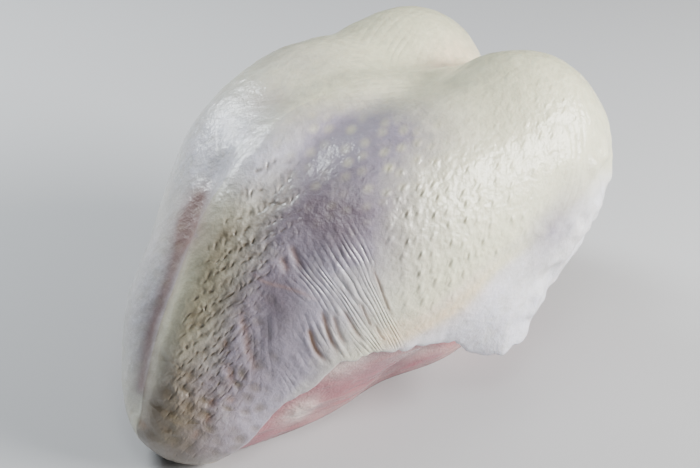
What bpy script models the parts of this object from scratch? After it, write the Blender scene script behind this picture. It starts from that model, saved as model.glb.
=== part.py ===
"""A raw turkey breast, bone in and skin on, resting on its ribs.

The skin is one shell over one block of flesh. It reaches the floor at the tail,
is cut short along both sides so that the flesh shows, and hangs loose at the
neck end. While it is shaped, sizes are in millimetres, X runs along the keel
from the tail to the neck, Y to the far side and Z up. The finished part stands
on the origin.
"""

import math

import bpy
import numpy as np

MM = 0.001

# Muscles, ribs and tail: centre, radii, and turn in degrees (yaw, nose up).
MUSCLES = {
    "far breast": ((132, 41, 81), (88, 47, 69), (8, 0)),
    "far shoulder": ((208, 48, 91), (60, 42, 57), (6, 0)),
    "far tail end": ((65, 28, 47), (60, 32, 52), (12, 20)),
    "near breast": ((134, -40, 85), (86, 45, 60), (-8, 0)),
    "near shoulder": ((191, -44, 102), (49, 43, 52), (-4, 0)),
    "near tail end": ((76, -24, 63), (60, 33, 57), (-12, 20)),
    "tail tip": ((26, -5, 27), (32, 28, 26), (4, 14)),
    "tail ribs": ((86, -2, 12), (74, 32, 34), (0, 0)),
    "neck ribs": ((158, 14, 14), (62, 60, 46), (0, 0)),
}
MUSCLE_BLEND = 8.0

# The keel bone's crest under the skin, from the tail to the neck.
KEEL_CREST = (
    (6, -6, 26), (14, -6, 66), (40, -5, 105), (70, -2, 128), (104, 0, 136), (155, 0, 130), (212, 0, 116),
)
KEEL_RADIUS = 8.0

# The far breast's own edge along the keel, from the tail to the middle.
FAR_EDGE = ((15, 12, 24), (22, 12, 62), (47, 13, 99), (74, 14, 120), (104, 14, 127), (140, 14, 124))
FAR_EDGE_RADIUS = 9.0

# The hollow between the two.
HOLLOW = ((-7, 1, 32), (2, 1, 60), (15, 1, 85), (32, 7, 106), (50, 13, 121))
HOLLOW_HALF_WIDTH = 8.0
HOLLOW_DEPTH = 3.0

# Broad gathers that run down the near side to the skin's edge.
GATHER_BEARING = -132.0
GATHER_HALF_ANGLE = 24.0
GATHER_PITCH = 12.0
GATHER_DEPTH = 1.6
GATHER_TOP = 105.0

SKIN_THICKNESS = 3.0
GAP = 0.3
FLOOR_ROUNDING = 2.0

# The skin's lower edge around the breast: bearing in degrees from the neck end,
# height above the floor, and how far it hangs free (0 against the flesh, 1 straight down).
SKIN_EDGE = (
    (-180, 1, 0.0), (-168, 2, 0.0), (-160, 14, 0.0), (-152, 31, 0.0), (-144, 42, 0.0),
    (-136, 50, 0.0), (-112, 50, 0.0), (-96, 43, 0.0), (-86, 37, 0.4), (-76, 32, 0.85),
    (-66, 32, 0.8), (-56, 40, 0.45), (-46, 54, 0.1), (-36, 62, 0.0), (-20, 66, 0.0),
    (0, 62, 0.0), (20, 66, 0.0), (36, 56, 0.2), (50, 42, 0.7), (64, 36, 0.7), (80, 40, 0.2),
    (108, 49, 0.0), (134, 48, 0.0), (148, 33, 0.0), (158, 14, 0.0), (168, 2, 0.0),
)
EDGE_RAGGEDNESS = 1.8
HANG_WAVE = 0.12

# The grid that every surface is read on, seen from a point inside the breast.
CENTRE = np.array((118.0, 0.0, 50.0))
COLUMNS = 84
SKIN_ROWS = 30
BAND_ROWS = 5
SEARCH_ANGLES = np.radians(np.arange(0.0, 176.0, 1.5))

SKIN_COLOUR = (0.68, 0.60, 0.53)
FLESH_COLOUR = (0.60, 0.28, 0.27)


def turn_matrix(yaw, nose_up):
    """Rotation about Z, then about the turned Y, in degrees."""
    a = math.radians(yaw)
    b = math.radians(-nose_up)
    about_z = np.array(((math.cos(a), -math.sin(a), 0), (math.sin(a), math.cos(a), 0), (0, 0, 1)))
    about_y = np.array(((math.cos(b), 0, math.sin(b)), (0, 1, 0), (-math.sin(b), 0, math.cos(b))))
    return about_z @ about_y


def ellipsoid_distance(points, centre, radii, turn):
    """Near the surface this is the distance to the ellipsoid, negative inside."""
    local = (points - np.array(centre, float)) @ turn_matrix(*turn)
    radii = np.array(radii, float)
    scaled = np.linalg.norm(local / radii, axis=-1)
    slope = np.linalg.norm(local / radii ** 2, axis=-1)
    return scaled * (scaled - 1.0) / np.maximum(slope, 1e-9)


def smooth_union(distances, blend):
    stack = np.stack(distances)
    lowest = stack.min(axis=0)
    return lowest - blend * np.log(np.exp((lowest - stack) / blend).sum(axis=0))


def curve_through(points, steps=4):
    """A smooth curve through the points (Catmull-Rom), as short straight steps."""
    p = np.array(points, float)
    p = np.vstack((2 * p[0] - p[1], p, 2 * p[-1] - p[-2]))
    t = np.linspace(0, 1, steps, endpoint=False)[:, None]
    pieces = []
    for a, b, c, d in zip(p, p[1:], p[2:], p[3:]):
        pieces.append(0.5 * (2 * b + (c - a) * t + (2 * a - 5 * b + 4 * c - d) * t ** 2
                             + (3 * b - a - 3 * c + d) * t ** 3))
    return np.vstack(pieces + [p[-2:-1]])


def path_distance(points, path):
    nearest = np.full(points.shape[:-1], np.inf)
    for a, b in zip(path, path[1:]):
        along = np.clip((points - a) @ (b - a) / ((b - a) @ (b - a)), 0, 1)
        nearest = np.minimum(nearest, np.linalg.norm(points - a - along[..., None] * (b - a), axis=-1))
    return nearest


KEEL_PATH = curve_through(KEEL_CREST)
FAR_EDGE_PATH = curve_through(FAR_EDGE)
HOLLOW_PATH = curve_through(HOLLOW)


def gathers(points):
    """Height of the gathers on the near side, in millimetres."""
    bearing = np.degrees(np.arctan2(points[..., 1] - CENTRE[1], points[..., 0] - CENTRE[0]))
    across = np.exp(-((bearing - GATHER_BEARING) / GATHER_HALF_ANGLE) ** 2)
    down = np.clip((GATHER_TOP - points[..., 2]) / GATHER_TOP, 0, 1)
    return GATHER_DEPTH * across * down * np.sin(2 * math.pi * bearing / GATHER_PITCH)


def body_distance(points, depth=0.0):
    """Distance to the skin's outer surface, or to the surface that lies depth under it."""
    distances = [ellipsoid_distance(points, *muscle) for muscle in MUSCLES.values()]
    distances.append(path_distance(points, KEEL_PATH) - KEEL_RADIUS)
    distances.append(path_distance(points, FAR_EDGE_PATH) - FAR_EDGE_RADIUS)
    body = smooth_union(distances, MUSCLE_BLEND) + depth
    body += HOLLOW_DEPTH * np.exp(-(path_distance(points, HOLLOW_PATH) / HOLLOW_HALF_WIDTH) ** 2)
    body -= gathers(points)
    floor = -points[..., 2]
    return -smooth_union((-body, -floor), FLOOR_ROUNDING)


def directions(bearings, angles):
    """Unit vectors at bearings round Z and at angles down from straight up."""
    return np.stack((np.sin(angles) * np.cos(bearings), np.sin(angles) * np.sin(bearings),
                     np.cos(angles)), axis=-1)


def reach(bearings, angles, depth=0.0):
    """How far the surface lies from CENTRE in each direction."""
    rays = directions(bearings, angles)
    r = np.full(rays.shape[:-1], 230.0)
    for _ in range(55):
        step = body_distance(CENTRE + rays * r[..., None], depth)
        r = np.maximum(r - np.clip(step, -20, 40) * 0.85, 2.0)
    return r


def at(bearings, angles, r):
    return CENTRE + directions(bearings, angles) * r[..., None]


def edge_at(bearings):
    """Height of the skin's edge, and how far it hangs, at each bearing."""
    stations, heights, hangs = np.array(SKIN_EDGE, float).T
    degrees = np.degrees(bearings)
    ragged = EDGE_RAGGEDNESS * (np.sin(11 * bearings + 1.0) + 0.6 * np.sin(23 * bearings))
    height = np.interp(degrees, stations, heights, period=360)
    height += ragged * np.clip(height / 30, 0, 1)
    hang = np.interp(degrees, stations, hangs, period=360)
    return height, hang * (1 + HANG_WAVE * np.sin(9 * bearings))


def angle_at_height(profile, height):
    """The angle at which a column's profile comes down to a height, below its widest point."""
    widest = int(np.argmax(np.hypot(profile[:, 0] - CENTRE[0], profile[:, 1] - CENTRE[1])))
    below = profile[widest:, 2]
    return np.interp(-height, -np.minimum.accumulate(below), SEARCH_ANGLES[widest:])


def even_angles(profile, last_angle, rows):
    """Angles from the crown to last_angle, evenly spaced along the profile."""
    steps = np.linalg.norm(np.diff(profile, axis=0), axis=1)
    length = np.concatenate(((0.0,), np.cumsum(steps)))
    whole = np.interp(last_angle, SEARCH_ANGLES, length)
    return np.interp(np.linspace(0, whole, rows + 1)[1:], length, SEARCH_ANGLES)


def loosening(points, profiles, hang):
    """The shift that brings the skin below its widest point to a curtain hanging straight down."""
    shift = np.zeros_like(points)
    for i in range(COLUMNS):
        width = np.linalg.norm(profiles[i, :, :2] - CENTRE[:2], axis=1)
        widest = int(np.argmax(width))
        offset = points[i, :, :2] - CENTRE[:2]
        radius = np.linalg.norm(offset, axis=1)
        free = points[i, :, 2] < profiles[i, widest, 2]
        widening = np.where(free, hang[i] * (width[widest] - radius), 0)
        shift[i, :, :2] = offset * (widening / np.maximum(radius, 1e-6))[:, None]
    return shift


def lowest_neighbours(r):
    """The smallest value among each grid point and the eight round it."""
    rolled = np.minimum(np.minimum(r, np.roll(r, 1, axis=0)), np.roll(r, -1, axis=0))
    padded = np.pad(rolled, ((0, 0), (1, 1)), mode="edge")
    return np.minimum(np.minimum(padded[:, :-2], padded[:, 1:-1]), padded[:, 2:])


class Surface:
    """Collects rings of points and the faces between them."""

    def __init__(self):
        self.points = []
        self.faces = []

    def point(self, place):
        self.points.append(tuple(place))
        return len(self.points) - 1

    def ring(self, places):
        return [self.point(place) for place in places]

    def cap(self, tip, ring):
        for i, here in enumerate(ring):
            self.faces.append((tip, here, ring[(i + 1) % len(ring)]))

    def join(self, upper, lower):
        """Joins two rings with as many points. The skin and flesh share each cell's diagonal."""
        n = len(upper)
        for i in range(n):
            k = (i + 1) % n
            self.faces.append((upper[i], lower[i], lower[k]))
            self.faces.append((upper[i], lower[k], upper[k]))

    def join_finer(self, coarse, fine):
        """Joins a coarse upper ring to a lower ring with twice its points."""
        n = len(coarse)
        for i in range(n):
            k = (i + 1) % n
            left, middle, right = fine[2 * i], fine[2 * i + 1], fine[(2 * i + 2) % (2 * n)]
            self.faces.append((coarse[i], left, middle))
            self.faces.append((coarse[i], middle, coarse[k]))
            self.faces.append((coarse[k], middle, right))

    def flip_from(self, first_face):
        self.faces[first_face:] = [face[::-1] for face in self.faces[first_face:]]


def make_object(name, surface, shift, colour, roughness):
    mesh = bpy.data.meshes.new(name)
    points = [tuple((c + s) * MM for c, s in zip(point, shift)) for point in surface.points]
    mesh.from_pydata(points, [], surface.faces)
    mesh.validate()
    mesh.shade_smooth()
    material = bpy.data.materials.new(name)
    material.use_nodes = True
    shader = material.node_tree.nodes["Principled BSDF"]
    shader.inputs["Base Color"].default_value = (*colour, 1.0)
    shader.inputs["Roughness"].default_value = roughness
    mesh.materials.append(material)
    obj = bpy.data.objects.new(name, mesh)
    bpy.context.collection.objects.link(obj)
    return obj


def make_skin(outer, crown, inner, inner_crown):
    """A closed shell: the outer surface, the rim at its edge, and the coarser inner surface."""
    skin = Surface()
    outer_rings = [skin.ring(outer[:, j]) for j in range(outer.shape[1])]
    skin.cap(skin.point(crown), outer_rings[0])
    for upper, lower in zip(outer_rings, outer_rings[1:]):
        skin.join(upper, lower)
    first_inner_face = len(skin.faces)
    inner_rings = [skin.ring(inner[:, j]) for j in range(inner.shape[1])]
    skin.cap(skin.point(inner_crown), inner_rings[0])
    for upper, lower in zip(inner_rings, inner_rings[1:]):
        skin.join(upper, lower)
    skin.join_finer(inner_rings[-1], outer_rings[-1])
    skin.flip_from(first_inner_face)
    return skin


def make_flesh(covered, crown, band):
    """A closed block: the surface under the skin, the band that shows, and the flat base."""
    flesh = Surface()
    rings = [flesh.ring(covered[:, j]) for j in range(covered.shape[1])]
    flesh.cap(flesh.point(crown), rings[0])
    for upper, lower in zip(rings, rings[1:]):
        flesh.join(upper, lower)
    band_rings = [flesh.ring(band[:, j]) for j in range(band.shape[1])]
    flesh.join_finer(rings[-1], band_rings[0])
    for upper, lower in zip(band_rings, band_rings[1:]):
        flesh.join(upper, lower)
    flesh.faces.append(tuple(reversed(band_rings[-1])))
    return flesh


def main():
    for obj in list(bpy.data.objects):
        bpy.data.objects.remove(obj)

    bearing = np.linspace(-math.pi, math.pi, COLUMNS, endpoint=False)
    search = np.meshgrid(bearing, SEARCH_ANGLES, indexing="ij")
    profiles = at(*search, reach(*search))
    height, hang = edge_at(bearing)

    # The skin's rows of angles in each column, and the band's below them.
    skin_angle = np.empty((COLUMNS, SKIN_ROWS))
    band_angle = np.empty((COLUMNS, BAND_ROWS))
    for i in range(COLUMNS):
        edge_angle = angle_at_height(profiles[i], height[i])
        floor_angle = max(angle_at_height(profiles[i], 0.4), edge_angle + math.radians(6))
        skin_angle[i] = even_angles(profiles[i], edge_angle, SKIN_ROWS)
        band_angle[i] = np.linspace(edge_angle, floor_angle, BAND_ROWS + 1)[1:]

    column = np.repeat(bearing[:, None], SKIN_ROWS, axis=1)
    outer_reach = reach(column, skin_angle)
    tight = at(column, skin_angle, outer_reach)
    loose = loosening(tight, profiles, hang)
    outer = tight + loose
    inner_reach = lowest_neighbours(outer_reach) - SKIN_THICKNESS
    inner = at(column, skin_angle, inner_reach) + loose
    covered = at(column, skin_angle, inner_reach - GAP)

    crown_reach = float(reach(np.zeros(1), np.zeros(1))[0])
    crown = CENTRE + (0, 0, crown_reach)
    inner_crown = crown - (0, 0, SKIN_THICKNESS)

    band_column = np.repeat(bearing[:, None], BAND_ROWS, axis=1)
    band_reach = reach(band_column, band_angle, SKIN_THICKNESS + GAP)
    band = at(band_column, band_angle, band_reach)
    band[:, -1, 2] = 0.0

    every_other = (slice(0, None, 2), slice(1, None, 2))
    skin = make_skin(outer, crown, inner[every_other], inner_crown)
    flesh = make_flesh(covered[every_other], inner_crown - (0, 0, GAP), band)

    points = np.array(skin.points + flesh.points)
    low = points.min(axis=0)
    high = points.max(axis=0)
    shift = (-(low[0] + high[0]) / 2, -(low[1] + high[1]) / 2, -low[2])
    make_object("skin", skin, shift, SKIN_COLOUR, 0.35)
    make_object("flesh", flesh, shift, FLESH_COLOUR, 0.30)


main()
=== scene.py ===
"""The looks of a raw turkey breast: skin with follicles, wrinkles and folds, and the flesh below it."""

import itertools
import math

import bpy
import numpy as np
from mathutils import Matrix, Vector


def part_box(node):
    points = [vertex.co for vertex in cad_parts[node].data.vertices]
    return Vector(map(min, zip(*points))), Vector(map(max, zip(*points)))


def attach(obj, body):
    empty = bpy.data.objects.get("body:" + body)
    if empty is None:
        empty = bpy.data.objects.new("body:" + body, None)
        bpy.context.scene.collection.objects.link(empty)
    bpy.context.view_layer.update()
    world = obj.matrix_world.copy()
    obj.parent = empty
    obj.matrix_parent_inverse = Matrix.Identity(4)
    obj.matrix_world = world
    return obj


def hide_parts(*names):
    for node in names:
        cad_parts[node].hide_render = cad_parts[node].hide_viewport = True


bl_info = {
    "name": "Raw turkey breast",
    "version": (1, 0, 0),
    "blender": (4, 5, 0),
    "location": "View3D > Sidebar > Turkey breast",
    "description": "Gives the turkey breast's solids their skin and flesh",
    "category": "Object",
}

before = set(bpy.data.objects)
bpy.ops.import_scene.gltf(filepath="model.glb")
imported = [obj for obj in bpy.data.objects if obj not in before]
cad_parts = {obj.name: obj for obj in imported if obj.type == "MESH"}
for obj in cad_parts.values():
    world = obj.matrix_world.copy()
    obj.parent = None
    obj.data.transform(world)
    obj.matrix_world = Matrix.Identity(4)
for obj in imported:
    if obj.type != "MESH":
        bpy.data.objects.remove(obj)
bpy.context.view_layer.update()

MM = 0.001

# Form of the solids, in millimetres: X from the tail to the neck, Y to the far side.
# Muscles, ribs and tail: centre, radii, and turn in degrees (yaw, nose up).
MUSCLES = {
    "far breast": ((132, 41, 81), (88, 47, 69), (8, 0)),
    "far shoulder": ((208, 48, 91), (60, 42, 57), (6, 0)),
    "far tail end": ((65, 28, 47), (60, 32, 52), (12, 20)),
    "near breast": ((134, -40, 85), (86, 45, 60), (-8, 0)),
    "near shoulder": ((191, -44, 102), (49, 43, 52), (-4, 0)),
    "near tail end": ((76, -24, 63), (60, 33, 57), (-12, 20)),
    "tail tip": ((26, -5, 27), (32, 28, 26), (4, 14)),
    "tail ribs": ((86, -2, 12), (74, 32, 34), (0, 0)),
    "neck ribs": ((158, 14, 14), (62, 60, 46), (0, 0)),
}
MUSCLE_BLEND = 8.0
KEEL_CREST = (
    (6, -6, 26), (14, -6, 66), (40, -5, 105), (70, -2, 128), (104, 0, 136), (155, 0, 130),
    (212, 0, 116),
)
KEEL_RADIUS = 8.0
FAR_EDGE = ((15, 12, 24), (22, 12, 62), (47, 13, 99), (74, 14, 120), (104, 14, 127), (140, 14, 124))
FAR_EDGE_RADIUS = 9.0
HOLLOW = ((-7, 1, 32), (2, 1, 60), (15, 1, 85), (32, 7, 106), (50, 13, 121))
HOLLOW_HALF_WIDTH = 8.0
HOLLOW_DEPTH = 3.0
FLOOR_ROUNDING = 2.0

# The skin's lower edge: bearing in degrees from the neck end, height, and how far it hangs free.
SKIN_EDGE = (
    (-180, 1, 0.0), (-168, 2, 0.0), (-160, 14, 0.0), (-152, 31, 0.0), (-144, 42, 0.0),
    (-136, 50, 0.0), (-112, 50, 0.0), (-96, 43, 0.0), (-86, 37, 0.4), (-76, 32, 0.85),
    (-66, 32, 0.8), (-56, 40, 0.45), (-46, 54, 0.1), (-36, 62, 0.0), (-20, 66, 0.0),
    (0, 62, 0.0), (20, 66, 0.0), (36, 56, 0.2), (50, 42, 0.7), (64, 36, 0.7), (80, 40, 0.2),
    (108, 49, 0.0), (134, 48, 0.0), (148, 33, 0.0), (158, 14, 0.0), (168, 2, 0.0),
)
EDGE_RAGGEDNESS = 1.8
HANG_WAVE = 0.12

# The grids, seen from a point inside the breast. Columns lie closer on the near side.
CENTRE = np.array((118.0, 0.0, 50.0))
SEARCH_COLUMNS = 180
SEARCH_ANGLES = np.radians(np.arange(0.0, 176.0, 1.5))
SKIN_COLUMNS = 560
SKIN_ROWS = 170
# The rows, counted from the crown, from which the skin has half and then all of its columns.
SKIN_FINER_AT = (12, 50)
NEAR_CROWDING = 0.3

# The photograph's camera, in its own pixels and in the form's millimetres.
PHOTO_SIZE = (700, 468)
FOCAL_PX = 1250.0
HORIZON_ABOVE_CENTRE_PX = 712.0
CAMERA_AT = np.array((-252.2, -374.3, 370.0))
KEEL_TURN = math.radians(45)
CAMERA_PITCH = math.atan2(HORIZON_ABOVE_CENTRE_PX, FOCAL_PX)


def length_property(name, description, default, longest, shortest=0.0):
    """A length in metres."""
    return bpy.props.FloatProperty(name=name, description=description, default=default, min=shortest,
                                   max=longest, unit="LENGTH", precision=4)


def colour_property(name, description, default):
    """A linear colour."""
    return bpy.props.FloatVectorProperty(name=name, description=description, subtype="COLOR",
                                         default=default, min=0, max=1)


def power_property(name, description, default):
    """A light's power in watts."""
    return bpy.props.FloatProperty(name=name, description=description, default=default, min=0.0,
                                   unit="POWER")


class BreastSizes(bpy.types.PropertyGroup):
    """Sizes of the skin's fine forms."""

    rim: length_property("Skin rim", "Thickness of the skin at its cut edge", 0.0022, 0.004, 0.001)
    bump: length_property("Follicle bumps", "Height of the bumps in rows along the keel", 0.0011, 0.003)
    pit: length_property("Quill pits", "Depth of the pits that the quills left", 0.0008, 0.003)
    wrinkle: length_property("Wrinkles", "Height of the fine wrinkles", 0.0007, 0.003)
    fold: length_property("Folds", "Depth of the gathered folds above the skin's edge", 0.00126, 0.003)


class BreastColours(bpy.types.PropertyGroup):
    """Colours of skin and flesh."""

    cream: colour_property("Cream", "Fat under the skin", (0.675, 0.66, 0.46))
    lilac: colour_property("Lilac", "Skin with muscle showing through", (0.27, 0.24, 0.30))
    # Deep lilac: the skin's own darker lilac, and painted shade where the flank and the tail turn away
    # from the light.
    deep: colour_property("Deep lilac", "The darkest muscle under the skin", (0.125, 0.088, 0.11))
    # Pale skin: the flap's thin skin and the skin's cut edge, and also painted light: a painted
    # highlight on the keel's top and the far flank lit from above.
    white: colour_property("Thin skin", "Loose skin without fat", (0.65, 0.645, 0.76))
    peach: colour_property("Peach", "Warm tinge along the skin's margins", (0.76, 0.58, 0.40))
    blush: colour_property("Blush", "Blood tinge beside the keel", (0.30, 0.195, 0.18))
    # Pit colour: the brown of the tail's mottles and the pits, and painted shade in the follicle slits,
    # holes and wrinkle furrows.
    pit: colour_property("Pits", "Quill pits and the tail's mottles", (0.115, 0.085, 0.048))
    olive: colour_property("Olive", "Skin round the follicles along the keel", (0.23, 0.19, 0.105))
    # Fold colour: a brown tint that also serves as painted shade at the bottoms of the folds, dents and
    # creases.
    furrow: colour_property("Folds", "The bottoms of the deep folds", (0.26, 0.125, 0.06))
    dot: colour_property("Follicle fat", "Yellow fat round the follicles", (0.70, 0.67, 0.41))
    flesh: colour_property("Flesh", "Raw breast meat", (0.26, 0.066, 0.09))
    blood: colour_property("Dark flesh", "The reddest flesh", (0.42, 0.13, 0.10))
    film: colour_property("Fascia", "White film and fat on the flesh", (0.60, 0.51, 0.47))


class StageSettings(bpy.types.PropertyGroup):
    """Floor and light."""

    floor: colour_property("Floor", "Colour of the floor", (0.50, 0.505, 0.515))
    side: power_property("Side light", "Power of the soft box beside the neck end", 42.0)
    top: power_property("Top light", "Power of the soft box above and behind", 12.0)
    fill: power_property("Fill light", "Power of the light from the front", 2.5)


# Form: the same rules as the solids.

def turn_matrix(yaw, nose_up):
    """Rotation about Z, then about the turned Y, in degrees."""
    a = math.radians(yaw)
    b = math.radians(-nose_up)
    about_z = np.array(((math.cos(a), -math.sin(a), 0), (math.sin(a), math.cos(a), 0), (0, 0, 1)))
    about_y = np.array(((math.cos(b), 0, math.sin(b)), (0, 1, 0), (-math.sin(b), 0, math.cos(b))))
    return about_z @ about_y


def ellipsoid_distance(points, centre, radii, turn):
    local = (points - np.array(centre, float)) @ turn_matrix(*turn)
    radii = np.array(radii, float)
    scaled = np.linalg.norm(local / radii, axis=-1)
    slope = np.linalg.norm(local / radii ** 2, axis=-1)
    return scaled * (scaled - 1.0) / np.maximum(slope, 1e-9)


def smooth_union(distances, blend):
    stack = np.stack(distances)
    lowest = stack.min(axis=0)
    return lowest - blend * np.log(np.exp((lowest - stack) / blend).sum(axis=0))


def curve_through(points, steps=4):
    """A smooth curve through the points (Catmull-Rom), as short straight steps."""
    p = np.array(points, float)
    p = np.vstack((2 * p[0] - p[1], p, 2 * p[-1] - p[-2]))
    t = np.linspace(0, 1, steps, endpoint=False)[:, None]
    pieces = []
    for a, b, c, d in zip(p, p[1:], p[2:], p[3:]):
        pieces.append(0.5 * (2 * b + (c - a) * t + (2 * a - 5 * b + 4 * c - d) * t ** 2
                             + (3 * b - a - 3 * c + d) * t ** 3))
    return np.vstack(pieces + [p[-2:-1]])


def path_distance(points, path):
    """Distance to a path, and how far along it the nearest point lies, from 0 to 1."""
    nearest = np.full(points.shape[:-1], np.inf)
    where = np.zeros(points.shape[:-1])
    for i, (a, b) in enumerate(zip(path, path[1:])):
        along = np.clip((points - a) @ (b - a) / max((b - a) @ (b - a), 1e-9), 0, 1)
        d = np.linalg.norm(points - a - along[..., None] * (b - a), axis=-1)
        closer = d < nearest
        nearest = np.where(closer, d, nearest)
        where = np.where(closer, (i + along) / (len(path) - 1), where)
    return nearest, where


KEEL_PATH = curve_through(KEEL_CREST)
FAR_EDGE_PATH = curve_through(FAR_EDGE)
HOLLOW_PATH = curve_through(HOLLOW)


def body_distance(points, depth=0.0):
    """Distance to the skin's outer surface, or to the surface that lies depth under it."""
    distances = [ellipsoid_distance(points, *muscle) for muscle in MUSCLES.values()]
    distances.append(path_distance(points, KEEL_PATH)[0] - KEEL_RADIUS)
    distances.append(path_distance(points, FAR_EDGE_PATH)[0] - FAR_EDGE_RADIUS)
    body = smooth_union(distances, MUSCLE_BLEND) + depth
    hollow = path_distance(points, HOLLOW_PATH)[0]
    body += HOLLOW_DEPTH * np.exp(-(hollow / HOLLOW_HALF_WIDTH) ** 2)
    return -smooth_union((-body, points[..., 2]), FLOOR_ROUNDING)


def directions(bearings, angles):
    return np.stack((np.sin(angles) * np.cos(bearings), np.sin(angles) * np.sin(bearings),
                     np.cos(angles)), axis=-1)


def at(bearings, angles, r):
    return CENTRE + directions(bearings, angles) * r[..., None]


def settle(bearings, angles, r, depth=0.0, rounds=55):
    """Moves r until each point lies on the surface."""
    rays = directions(bearings, angles)
    for _ in range(rounds):
        step = body_distance(CENTRE + rays * r[..., None], depth)
        r = np.maximum(r - np.clip(step, -20, 40) * 0.85, 2.0)
    return r


class Form:
    """How far the surface lies from CENTRE, known on a coarse grid and refined where asked."""

    def __init__(self):
        self.bearings = np.linspace(-math.pi, math.pi, SEARCH_COLUMNS, endpoint=False)
        grid = np.meshgrid(self.bearings, SEARCH_ANGLES, indexing="ij")
        self.reach = settle(*grid, np.full(grid[0].shape, 230.0))

    def guess(self, bearings, angles):
        column = (bearings + math.pi) / (2 * math.pi) * SEARCH_COLUMNS
        row = np.clip(angles / (SEARCH_ANGLES[1] - SEARCH_ANGLES[0]), 0, len(SEARCH_ANGLES) - 1.001)
        i, j = np.floor(column).astype(int), np.floor(row).astype(int)
        f, g = column - i, row - j
        i, k = i % SEARCH_COLUMNS, (i + 1) % SEARCH_COLUMNS
        table = self.reach
        return ((table[i, j] * (1 - f) + table[k, j] * f) * (1 - g)
                + (table[i, j + 1] * (1 - f) + table[k, j + 1] * f) * g)

    def at(self, bearings, angles, depth=0.0):
        start = self.guess(bearings, angles)
        return settle(bearings, angles, start, depth, rounds=8 if depth == 0 else 14)

    def profile(self, bearing):
        """The outline from the crown to the floor at one bearing."""
        bearings = np.full(SEARCH_ANGLES.shape, bearing)
        return at(bearings, SEARCH_ANGLES, self.guess(bearings, SEARCH_ANGLES))


def edge_at(bearings):
    """Height of the skin's edge, and how far it hangs, at each bearing."""
    stations, heights, hangs = np.array(SKIN_EDGE, float).T
    degrees = np.degrees(bearings)
    ragged = EDGE_RAGGEDNESS * (np.sin(11 * bearings + 1.0) + 0.6 * np.sin(23 * bearings))
    height = np.interp(degrees, stations, heights, period=360)
    height += ragged * np.clip(height / 30, 0, 1)
    hang = np.interp(degrees, stations, hangs, period=360)
    return height, hang * (1 + HANG_WAVE * np.sin(9 * bearings))


def angle_at_height(profile, height):
    widest = int(np.argmax(np.hypot(profile[:, 0] - CENTRE[0], profile[:, 1] - CENTRE[1])))
    below = profile[widest:, 2]
    return np.interp(-height, -np.minimum.accumulate(below), SEARCH_ANGLES[widest:])


def even_angles(profile, last_angle, rows):
    steps = np.linalg.norm(np.diff(profile, axis=0), axis=1)
    length = np.concatenate(((0.0,), np.cumsum(steps)))
    whole = np.interp(last_angle, SEARCH_ANGLES, length)
    return np.interp(np.linspace(0, whole, rows + 1)[1:], length, SEARCH_ANGLES)


def loosening(points, profiles, hang):
    """The shift that brings the skin below its widest point to a curtain hanging straight down."""
    shift = np.zeros_like(points)
    for i in range(len(points)):
        width = np.linalg.norm(profiles[i][:, :2] - CENTRE[:2], axis=1)
        widest = int(np.argmax(width))
        offset = points[i, :, :2] - CENTRE[:2]
        radius = np.linalg.norm(offset, axis=1)
        free = points[i, :, 2] < profiles[i][widest, 2]
        widening = np.where(free, hang[i] * (width[widest] - radius), 0)
        shift[i, :, :2] = offset * (widening / np.maximum(radius, 1e-6))[:, None]
    return shift


def grid_normals(points, crown):
    """Outward normals of a grid of columns and rows that closes round the crown."""
    up = np.concatenate((np.broadcast_to(crown, points[:, :1].shape), points[:, :-1]), axis=1)
    down = np.concatenate((points[:, 1:], 2 * points[:, -1:] - points[:, -2:-1]), axis=1)
    around = np.roll(points, -1, axis=0) - np.roll(points, 1, axis=0)
    normal = np.cross(down - up, around)
    return normal / np.maximum(np.linalg.norm(normal, axis=-1, keepdims=True), 1e-9)


# Noise, the photograph's frame and the shapes that features take in it.

def noise(points, size, seed=0):
    """Smooth noise from -1 to 1, with lumps of the given size."""
    p = points / size
    cell = np.floor(p).astype(np.int64)
    f = p - cell
    f = f * f * (3 - 2 * f)
    total = np.zeros(p.shape[:-1])
    for corner in itertools.product((0, 1), repeat=p.shape[-1]):
        key = np.full(total.shape, seed * 7919 + 17, np.int64)
        weight = np.ones(total.shape)
        for axis, step in enumerate(corner):
            key = (key * 1103515245 + cell[..., axis] + step + 12345) & 0x7FFFFFFF
            key ^= key >> 11
            weight *= f[..., axis] if step else 1 - f[..., axis]
        key = (key * 1103515245 + 12345) & 0x7FFFFFFF
        total += weight * ((key >> 8 & 0xFFFF) / 32767.5 - 1)
    return total


def smooth(low, high, x):
    t = np.clip((x - low) / (high - low), 0, 1)
    return t * t * (3 - 2 * t)


def photo_axes():
    """Right, up and forward of the camera, in the form's axes."""
    c, s = math.cos(KEEL_TURN), math.sin(KEEL_TURN)
    cp, sp = math.cos(CAMERA_PITCH), math.sin(CAMERA_PITCH)
    right = np.array((c, -s, 0))
    forward = np.array((cp * s, cp * c, -sp))
    return right, np.cross(right, forward), forward


def photo_px(points):
    """Where the form's points appear in the photograph, in its pixels."""
    right, up, forward = photo_axes()
    offset = points - CAMERA_AT
    depth = offset @ forward
    x = PHOTO_SIZE[0] / 2 + FOCAL_PX * (offset @ right) / depth
    y = PHOTO_SIZE[1] / 2 - FOCAL_PX * (offset @ up) / depth
    return np.stack((x, y), axis=-1)


def patch(px, centre, radii, turn=0.0):
    """A soft round patch: 1 at its centre, falling off over its radii. turn is in degrees."""
    a = math.radians(turn)
    d = px - np.array(centre, float)
    along = d[..., 0] * math.cos(a) + d[..., 1] * math.sin(a)
    across = -d[..., 0] * math.sin(a) + d[..., 1] * math.cos(a)
    return np.exp(-((along / radii[0]) ** 2 + (across / radii[1]) ** 2))


def patches(px, table):
    """The sum of several soft patches."""
    return sum(amount * patch(px, *where) for amount, *where in table)


def crease(px, path, width):
    """1 along a curved crease, falling off over its width, and thinning at both ends."""
    distance, where = path_distance(px, curve_through(path))
    taper = np.clip(np.minimum(where, 1 - where) * 4, 0.05, 1)
    return np.exp(-(distance / width) ** 2) * taper, distance


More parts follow.
